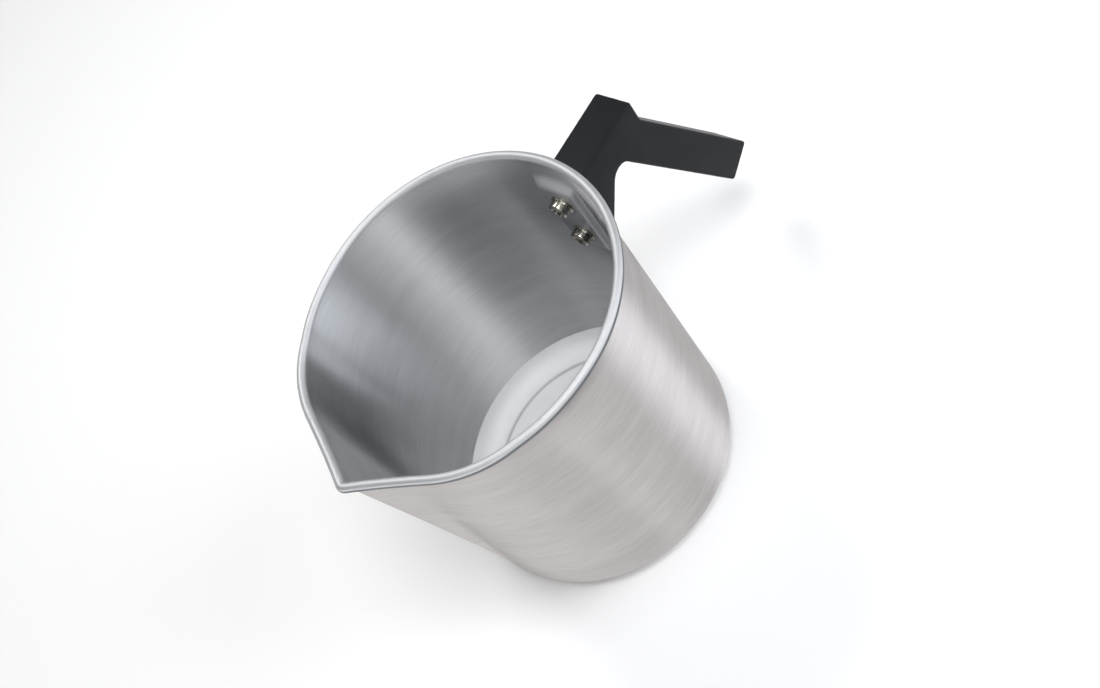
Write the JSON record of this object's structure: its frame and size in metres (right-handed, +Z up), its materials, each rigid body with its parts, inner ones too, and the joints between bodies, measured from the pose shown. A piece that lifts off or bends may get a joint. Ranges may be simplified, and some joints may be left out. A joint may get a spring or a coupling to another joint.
{
  "type": "wax melting pitcher",
  "caption": "Tall drawn aluminium pouring pot with a rolled rim, a pulled V spout and a riveted black moulded handle, for melting and pouring candle wax.",
  "frame": {"origin": "on the table, on the pot's axis, at the middle of its foot ring", "axes": "+Z up along the pot's axis, +X from the axis to the handle, the spout points to -X"},
  "size_m": [0.2326, 0.1378, 0.148],
  "materials": {
    "brushed_aluminium": "brushed round the pot, with a polished rim",
    "black_phenolic": "matte moulded",
    "strip_steel": "plain rolled",
    "nickel_plate": "nickel plated"
  },
  "bodies": {
    "root": {"pot_body": "brushed_aluminium", "handle": "black_phenolic", "handle_core": "strip_steel", "rivet_upper": "nickel_plate", "rivet_lower": "nickel_plate", "washer_upper": "nickel_plate", "washer_lower": "nickel_plate"}
  },
  "joints": []
}
